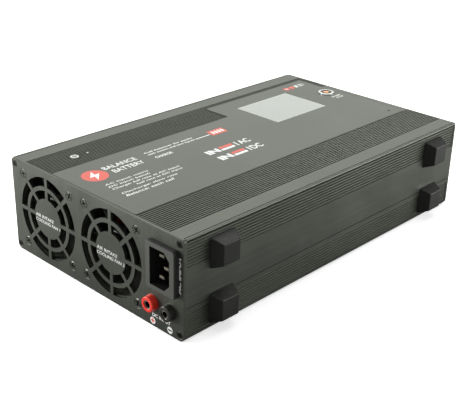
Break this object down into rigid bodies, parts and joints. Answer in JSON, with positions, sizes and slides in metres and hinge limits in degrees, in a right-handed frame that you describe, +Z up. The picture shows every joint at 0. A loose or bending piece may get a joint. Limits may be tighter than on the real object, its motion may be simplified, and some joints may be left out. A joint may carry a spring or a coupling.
{
  "type": "balance battery charger",
  "caption": "Mains and direct-current balance charger for hobby battery packs: ribbed extruded metal case, end fans, panel display and push button.",
  "frame": {"origin": "centre of the case's flat underside", "axes": "+X from the fan and mains end to the output end, +Z up out of the control panel, -Y towards the long side with the rubber feet"},
  "size_m": [0.294, 0.1772, 0.0691],
  "materials": {
    "anodised_case": "satin",
    "end_plate": "satin",
    "black_screw": "satin",
    "grey_screw": "satin",
    "bright_screw": "satin",
    "foot_rubber": "matte",
    "label_film": "satin",
    "window_acrylic": "gloss",
    "display_glass": "gloss",
    "steel_sheet": "satin",
    "circuit_board": "satin",
    "chromed_ring": "polished",
    "button_black": "satin",
    "amber_lens": "gloss",
    "black_plastic": "satin",
    "fan_plastic": "satin",
    "winding_copper": "gloss",
    "bearing_bronze": "satin",
    "ground_steel": "polished",
    "plated_contact": "polished",
    "socket_red": "satin",
    "socket_black": "satin",
    "header_nylon": "satin",
    "insulation_film": "matte",
    "sink_aluminium": "satin",
    "ferrite": "matte",
    "coil_tape": "gloss",
    "fuse_glass": "gloss",
    "capacitor_sleeve": "gloss",
    "lead_insulation": "satin"
  },
  "bodies": {
    "case": {"upper_shell": "anodised_case", "lower_shell": "anodised_case", "fan_end_plate": "end_plate", "output_end_plate": "end_plate", "end_plate_screws": "black_screw", "fan_screws": "grey_screw", "top_fasteners": "bright_screw", "rubber_feet": "foot_rubber", "panel_label": "label_film", "lcd_window": "window_acrylic", "lcd_glass": "display_glass", "lcd_frame": "steel_sheet", "control_board": "circuit_board", "control_board_posts": "steel_sheet", "button_bezel": "chromed_ring", "button_nut": "steel_sheet", "switch_body": "black_plastic", "buzzer": "black_plastic", "fan_1_frame": "fan_plastic", "fan_2_frame": "fan_plastic", "fan_1_stator": "winding_copper", "fan_2_stator": "winding_copper", "fan_1_bearing": "bearing_bronze", "fan_2_bearing": "bearing_bronze", "ac_inlet_body": "black_plastic", "ac_inlet_pins": "plated_contact", "dc_socket_red": "socket_red", "dc_socket_black": "socket_black", "output_socket_red": "socket_red", "output_socket_black": "socket_black", "socket_contacts": "plated_contact", "socket_nuts": "steel_sheet", "balance_board": "circuit_board", "balance_headers": "header_nylon", "header_pins": "plated_contact", "data_ports": "steel_sheet", "power_board": "circuit_board", "charger_board": "circuit_board", "board_standoffs": "bearing_bronze", "insulation_sheet": "insulation_film", "power_heatsink": "sink_aluminium", "charger_heatsink": "sink_aluminium", "power_transistors": "black_plastic", "charger_transistors": "black_plastic", "line_choke": "ferrite", "transformer_core": "ferrite", "transformer_coil": "coil_tape", "charge_inductors": "ferrite", "mains_fuse": "fuse_glass", "bulk_capacitors": "capacitor_sleeve", "filter_capacitors": "capacitor_sleeve", "mains_leads": "lead_insulation", "dc_leads": "lead_insulation"},
    "fan_1": {"fan_1_rotor": "fan_plastic", "fan_1_shaft": "ground_steel"},
    "fan_2": {"fan_2_rotor": "fan_plastic", "fan_2_shaft": "ground_steel"},
    "button": {"push_button": "button_black", "button_lens": "amber_lens", "switch_plunger": "button_black"}
  },
  "joints": [
    {"name": "fan_1_spin", "type": "hinge", "parent": "case", "child": "fan_1", "pos_m": [-0.1285, 0.0464, 0.0347], "axis": [1, 0, 0], "continuous": true},
    {"name": "fan_2_spin", "type": "hinge", "parent": "case", "child": "fan_2", "pos_m": [-0.1285, -0.0187, 0.0347], "axis": [1, 0, 0], "continuous": true},
    {"name": "button_press", "type": "slide", "parent": "case", "child": "button", "axis": [0, 0, -1], "range_m": [0, 0.001], "stiffness_N_per_m": 900, "springref_m": -0.002}
  ]
}
